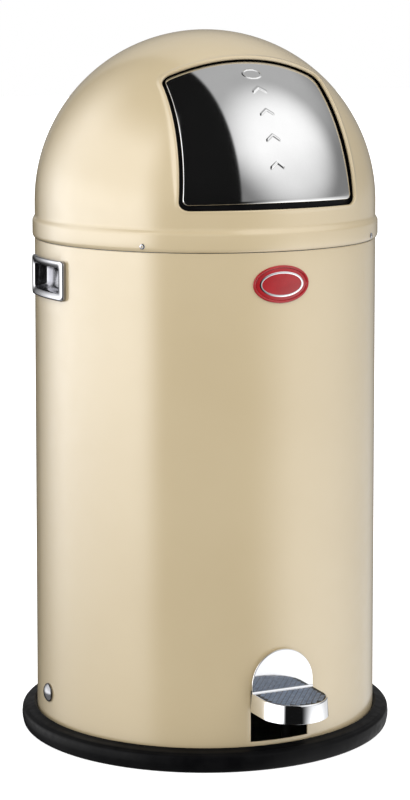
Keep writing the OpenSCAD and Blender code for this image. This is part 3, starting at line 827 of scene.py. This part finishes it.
def make_pedal_cover():
    """Chrome pedal: tread with a fine rim, flared skirt, and an upright half-round plate."""
    low, top = PEDAL_LOW, TREAD_Z
    rings = [pedal_ring(2.8 * MM, top - 2.4 * MM), pedal_ring(1.5 * MM, low + 0.3 * MM)]
    rings += [pedal_ring(1.2 * MM, low), pedal_ring(0.3 * MM, low), pedal_ring(0, low + 0.3 * MM)]
    rings += [pedal_ring(0.05 * MM, low + 1.2 * MM), pedal_ring(1.15 * MM, top - 1.6 * MM, 0.0)]
    rings += [pedal_ring(1.3 * MM, top - 0.8 * MM, 0.1 * MM)]
    rings += [pedal_ring(1.6 * MM, top - 0.3 * MM, 0.3 * MM)]
    rings += [pedal_ring(2.0 * MM, top, 0.8 * MM), pedal_ring(2.7 * MM, top, 3.6 * MM)]
    rings += [pedal_ring(3.0 * MM, top - 0.25 * MM, 4.0 * MM)]
    rings += [pedal_ring(3.1 * MM, top - 1.2 * MM, 4.1 * MM)]
    tread = skin(rings)

    front, back = PEDAL_BACK - 1.5 * MM, PEDAL_BACK
    rings = [plate_ring(1.4 * MM, front), plate_ring(0.6 * MM, front)]
    rings += [plate_ring(0.2 * MM, front + 0.12 * MM), plate_ring(0, front + 0.45 * MM)]
    rings += [plate_ring(0, back - 0.45 * MM), plate_ring(0.2 * MM, back - 0.12 * MM)]
    rings += [plate_ring(0.6 * MM, back), plate_ring(1.4 * MM, back)]
    plate = skin(rings)

    bend, sunk = 2.2 * MM, top - 0.9 * MM
    section = [(front - bend + y, top - 0.1 * MM + bend + z) for y, z in arc(0, 0, bend, -90, 0, 8)]
    section = [(front - bend - 0.2 * MM, sunk), *section]
    section += [(front + 0.3 * MM, top + bend), (front + 0.3 * MM, sunk)]
    fold = skin([[Vector((x, y, z)) for y, z in section] for x in (-PLATE_HALF, PLATE_HALF)])
    verts, faces = join(tread, plate, fold)
    obj = piece("pedal_chrome", verts, faces, MATERIALS["chrome"], 32)
    ride(obj, "pedal", "chrome", "pedal_cover")


def make_pedal_pad():
    """Rubber inlay with a field of low diamond studs."""
    inset, back, margin = 3.3 * MM, 5.0 * MM, 2.2 * MM
    top = PAD_TOP - 0.45 * MM
    base = skin([pedal_ring(inset, PAD_LOW, back), pedal_ring(inset, top - 0.2 * MM, back),
                 pedal_ring(inset + 0.25 * MM, top, back + 0.25 * MM)])
    ride(piece("pedal_inlay", *base, MATERIALS["rubber"], 25), "pedal", "rubber", "pedal_pad")

    pitch_x, pitch_y = 6.2 * MM, 8.4 * MM
    half_x, half_y, peak, narrow = 2.75 * MM, 3.75 * MM, 0.44 * MM, 0.45
    centre = PEDAL_FRONT + PEDAL_W
    reach = PEDAL_W - inset - margin

    def diamond(x, y, share, z):
        corners = ((share, 0), (0, share), (-share, 0), (0, -share))
        return [Vector((x + half_x * a, y + half_y * b, z)) for a, b in corners]

    studs = []
    for row in range(24):
        for column in range(-8, 9):
            x = (column + 0.5 * (row % 2)) * pitch_x
            y = PEDAL_BACK - back - margin - row * pitch_y / 2
            inside = abs(x) < reach if y > centre else math.hypot(x, y - centre) < reach
            if inside:
                studs.append(skin([diamond(x, y, 1, top - 0.1 * MM), diamond(x, y, 1, top),
                                   diamond(x, y, narrow, top + peak)]))
    verts, faces = join(*studs)
    obj = piece("pedal_studs", verts, faces, MATERIALS["pedal_rubber"], 25)
    ride(obj, "pedal", "pedal_rubber", "pedal_pad")


def make_return_spring():
    """Coil under the lever's bridge. The real one shortens as the pedal goes down; this mesh is
    fixed to the root and keeps its length.
    """
    low, high, centre = lowest("return_spring"), highest("return_spring"), middle("return_spring")
    wire, turns, steps, sides = 1.1 * MM, 6, 216, 12
    r = (high.x - low.x) / 2 - wire
    rings = []
    for i in range(steps + 1):
        a = 2 * math.pi * turns * i / steps
        z = low.z + wire + (high.z - low.z - 2 * wire) * i / steps
        ring = []
        for b in full_turn(sides):
            reach = r + wire * math.cos(b)
            ring.append(Vector((centre.x + reach * math.cos(a), centre.y + reach * math.sin(a),
                                z + wire * math.sin(b))))
        rings.append(ring)
    verts, faces = skin(rings)
    obj = piece("pedal_spring", verts, faces, MATERIALS["zinc_steel"], 50)
    ride(obj, "root", "zinc_steel", "return_spring")
    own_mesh(obj)


# ---------------------------------------------------------------- stage

def make_stage():
    """A plain pale floor, which the object neither mirrors nor takes light from."""
    m = new_material("floor_white", (0.85, 0.85, 0.85), 0.8)
    shader = m.node_tree.nodes["Principled BSDF"]
    shader.inputs["Emission Color"].default_value = (1, 1, 1, 1)
    shader.inputs["Emission Strength"].default_value = 0.75
    half = 14
    corners = [(-half, -half, 0), (half, -half, 0), (half, half, 0), (-half, half, 0)]
    mesh = bpy.data.meshes.new("floor")
    mesh.from_pydata(corners, [], [(0, 1, 2, 3)])
    mesh.materials.append(m)
    floor = bpy.data.objects.new("floor", mesh)
    floor.visible_glossy = False
    floor.visible_diffuse = False
    bpy.context.scene.collection.objects.link(floor)


class Sky:
    """Builds a brightness from the direction of a ray in the world's node tree."""

    def __init__(self, tree):
        self.tree = tree
        split = tree.nodes.new("ShaderNodeSeparateXYZ")
        tree.links.new(tree.nodes.new("ShaderNodeTexCoord").outputs["Generated"], split.inputs[0])
        self.x, self.y, self.z = split.outputs
        self.azimuth = self.calc("ARCTAN2", self.x, self.calc("MULTIPLY", self.y, -1.0))

    def feed(self, socket, value):
        """Sets a socket to a number, or links another node's output to it."""
        if isinstance(value, float):
            socket.default_value = value
        else:
            self.tree.links.new(value, socket)

    def calc(self, operation, a, b):
        """One step of arithmetic on numbers or outputs."""
        node = self.tree.nodes.new("ShaderNodeMath")
        node.operation = operation
        self.feed(node.inputs[0], a)
        self.feed(node.inputs[1], b)
        return node.outputs[0]

    def step(self, value, start, end, low=0.0, high=1.0):
        """Runs smoothly from low at start to high at end."""
        node = self.tree.nodes.new("ShaderNodeMapRange")
        node.interpolation_type = "SMOOTHSTEP"
        ends = (start, end, low, high) if start < end else (end, start, high, low)
        for name, number in zip(("From Min", "From Max", "To Min", "To Max"), ends):
            node.inputs[name].default_value = number
        self.tree.links.new(value, node.inputs["Value"])
        return node.outputs["Result"]

    def turn(self, start, end, high=1.0):
        """The same over the azimuth: 0 degrees is the front and 90 is the right."""
        return self.step(self.azimuth, math.radians(start), math.radians(end), 0.0, high)

    def product(self, first, *others):
        for other in others:
            first = self.calc("MULTIPLY", first, other)
        return first

    def sum(self, first, *others):
        for other in others:
            first = self.calc("ADD", first, other)
        return first

    def light(self, strength):
        """White light of a strength that is a number or an output."""
        node = self.tree.nodes.new("ShaderNodeBackground")
        node.inputs["Color"].default_value = (1, 1, 1, 1)
        self.feed(node.inputs["Strength"], strength)
        return node.outputs[0]


def make_world():
    """A white studio: even light for matt surfaces, and soft panels that glossy ones mirror."""
    world = bpy.data.worlds.new("studio")
    world.use_nodes = True
    tree = world.node_tree
    tree.nodes.clear()
    sky = Sky(tree)
    # A bright wall at the left, which fades towards the back, the top and the floor
    left = sky.product(sky.turn(-51, -70, 3.2), sky.step(sky.azimuth, -2.25, -2.95, 1.0, 0.12),
                       sky.step(sky.z, 0.0, 0.25, 1.0, 0.72),
                       sky.turn(-179, -168), sky.step(sky.z, 0.9, 0.5),
                       sky.step(sky.z, -0.13, -0.32, 1.0, 0.15))
    # A round panel above the horizon at the front right, with a pale ceiling
    aim = sky.sum(sky.calc("MULTIPLY", sky.x, 0.57), sky.calc("MULTIPLY", sky.y, -0.607),
                  sky.calc("MULTIPLY", sky.z, 0.553))
    panel = sky.sum(sky.step(aim, 0.70, 0.96, 0.23, 0.95), sky.step(sky.z, 0.23, 0.63, 0.0, 0.26))
    high = sky.product(panel, sky.step(sky.x, -0.02, 0.01), sky.step(sky.z, -0.06, 0.02))
    # Light from below the horizon at the right
    low = sky.product(sky.turn(0, 42, 1.75), sky.step(sky.azimuth, 0.95, 1.95, 1.0, 0.5),
                      sky.turn(150, 115), sky.step(sky.z, 0.02, -0.06),
                      sky.step(sky.z, -0.05, -0.24, 0.55, 0.95))
    darkest = 0.007
    mirrored = sky.sum(left, high, low, darkest)
    shade = sky.step(sky.z, -0.6, 0.6, 0.54, 0.94)
    seen = 1.0

    path = tree.nodes.new("ShaderNodeLightPath")
    shown = sky.light(shade)
    for ray, strength in (("Is Glossy Ray", mirrored), ("Is Camera Ray", seen)):
        mix = tree.nodes.new("ShaderNodeMixShader")
        tree.links.new(path.outputs[ray], mix.inputs["Fac"])
        tree.links.new(shown, mix.inputs[1])
        tree.links.new(sky.light(strength), mix.inputs[2])
        shown = mix.outputs[0]
    out = tree.nodes.new("ShaderNodeOutputWorld")
    tree.links.new(shown, out.inputs["Surface"])
    bpy.context.scene.world = world


def make_key_lights():
    """Soft lights round the camera, for gentle shading on matt surfaces."""
    reach, height, aim = 1.5, 1.0, Vector((0, 0, 0.5))
    for name, azimuth, power in (("key_front", -32, 7.0), ("key_right", 35, 2.0)):
        light = bpy.data.lights.new(name, "AREA")
        light.shape = "RECTANGLE"
        light.size, light.size_y, light.energy = 1.2, 0.9, power
        obj = bpy.data.objects.new(name, light)
        a = math.radians(azimuth)
        obj.location = (reach * math.sin(a), -reach * math.cos(a), height)
        obj.rotation_mode = "QUATERNION"
        obj.rotation_quaternion = (aim - obj.location).to_track_quat("-Z", "Y")
        obj.visible_glossy = False
        obj.visible_camera = False
        bpy.context.scene.collection.objects.link(obj)


def make_camera():
    """A long lens to the front left, a little above the bin, with a shifted frame."""
    azimuth, distance, height, pitch = math.radians(-25.1), 2.629, 0.800, 0.09
    data = bpy.data.cameras.new("camera")
    data.sensor_width = 36
    data.lens = 110.205
    data.shift_y = -0.2429
    camera = bpy.data.objects.new("camera", data)
    camera.location = (distance * math.sin(azimuth), -distance * math.cos(azimuth), height)
    camera.rotation_euler = (math.pi / 2 - pitch, 0, azimuth)
    bpy.context.scene.collection.objects.link(camera)
    bpy.context.scene.camera = camera
    bpy.context.scene.view_settings.view_transform = "Standard"


make_camera()
make_world()
make_key_lights()
make_stage()
dress_cad_nodes()
make_plinth()
make_body_tube()
make_dome()
make_flap()
make_screws()
make_badge()
make_handle("side_handle_right", 0, "handle_right")
make_handle("side_handle_left", 180, "handle_left")
make_axle_cap("cap_right", 1, "axle_cap_right")
make_axle_cap("cap_left", -1, "axle_cap_left")
make_pedal_cover()
make_pedal_pad()
make_return_spring()
